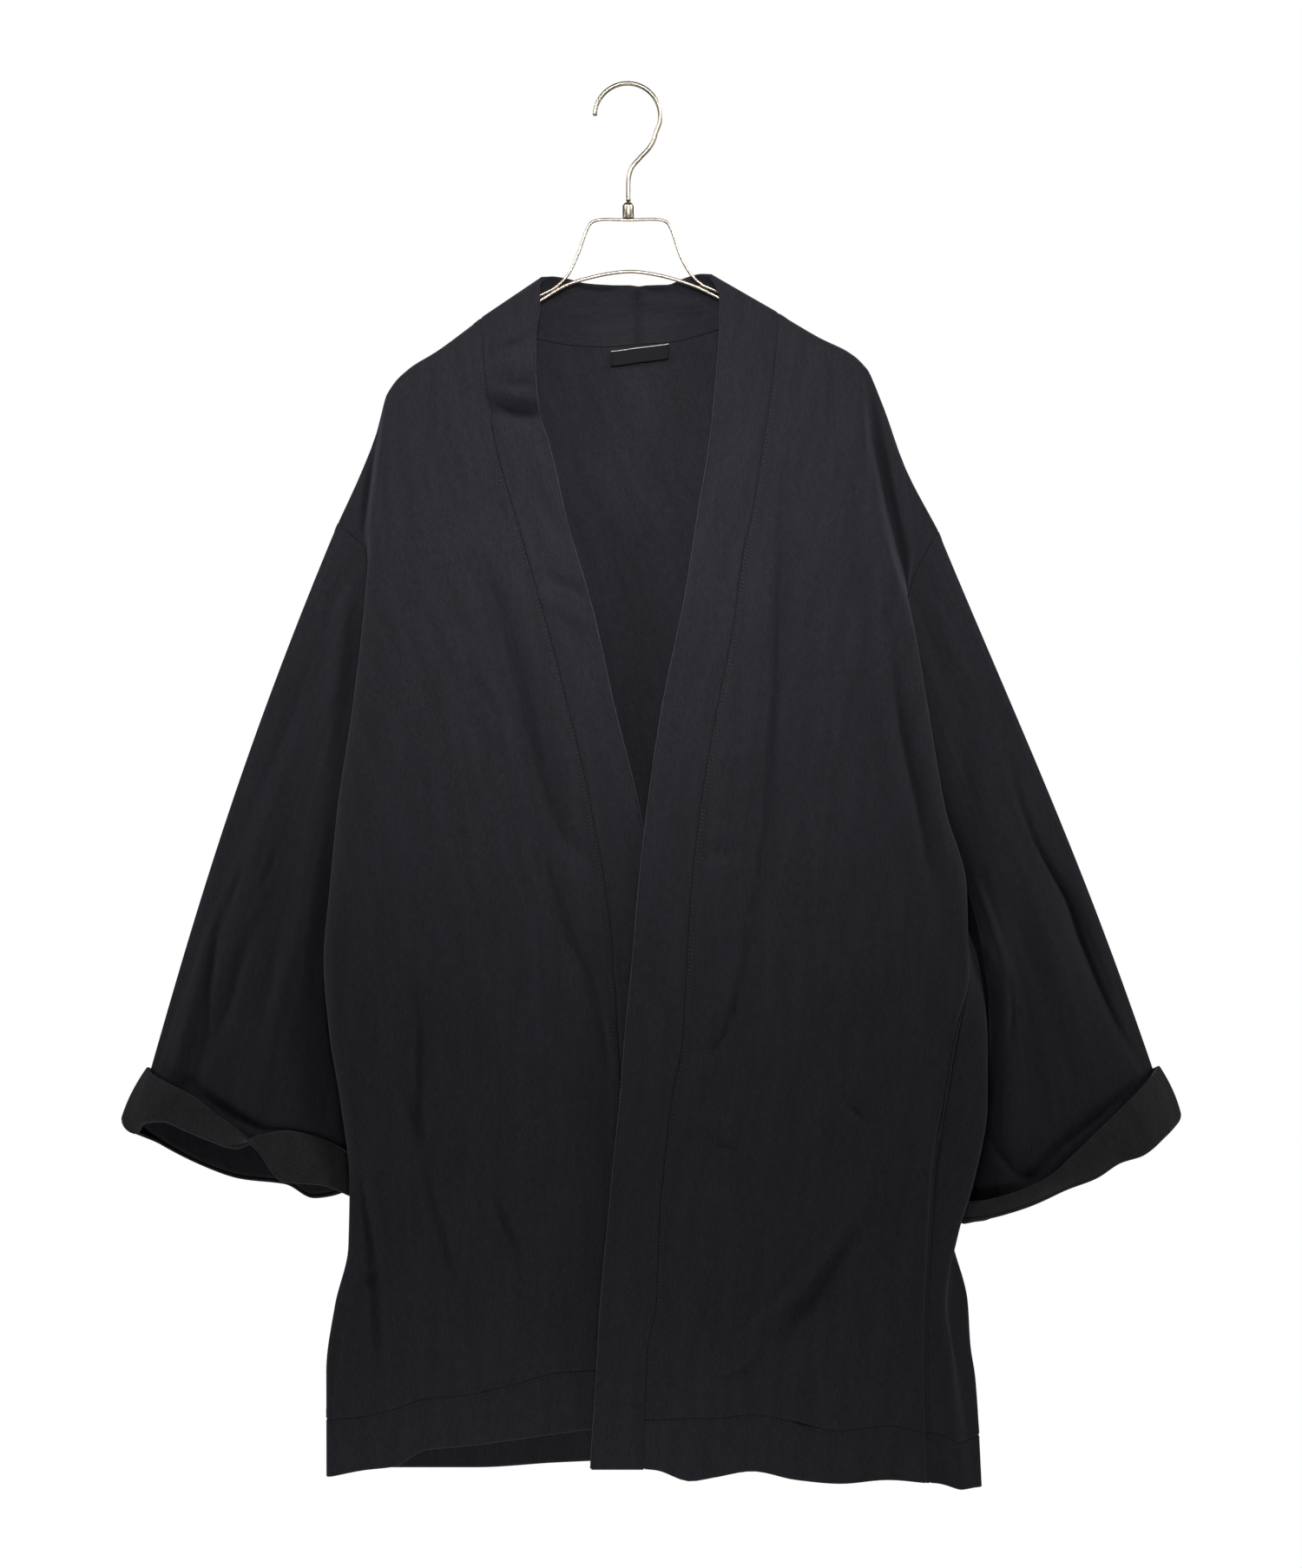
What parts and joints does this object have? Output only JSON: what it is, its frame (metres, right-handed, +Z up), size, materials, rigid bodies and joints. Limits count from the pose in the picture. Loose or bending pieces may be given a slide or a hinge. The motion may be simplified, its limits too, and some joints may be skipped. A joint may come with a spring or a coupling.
{
  "type": "kimono cardigan on a hanger",
  "caption": "Open-front kimono cardigan in smooth dark jersey with a band round neck and fronts, wide sleeves and turned-up cuffs, hung flat on a wire hanger.",
  "frame": {"origin": "underside of the hook's top, on the hanger's axis, where a rail carries it", "axes": "+Z up, +X towards the viewer's right as the garment hangs facing the viewer (the wearer's left), the front faces -Y"},
  "size_m": [0.8553, 0.0709, 1.1334],
  "materials": {
    "body_cloth": "smooth matt single jersey, near-black navy",
    "sleeve_cloth": "smooth matt single jersey, near-black navy",
    "hem_cloth": "smooth matt single jersey, folded double and sewn on",
    "cuff_cloth": "wrong side of the jersey, turned up",
    "band_cloth": "smooth matt jersey, folded double",
    "label_tape": "plain woven tape, black",
    "hanger_wire": "satin, warm nickel plated"
  },
  "bodies": {
    "root": {"front_right": "body_cloth", "front_left": "body_cloth", "back": "body_cloth", "hem_right": "hem_cloth", "hem_left": "hem_cloth", "hem_back": "hem_cloth", "sleeve_right": "sleeve_cloth", "sleeve_left": "sleeve_cloth", "cuff_right": "cuff_cloth", "cuff_left": "cuff_cloth", "neckband_right": "band_cloth", "neckband_left": "band_cloth", "neck_label": "label_tape", "hanger_hook": "hanger_wire", "hanger_ferrule": "hanger_wire", "hanger_frame": "hanger_wire", "hanger_arch": "hanger_wire"}
  },
  "joints": []
}
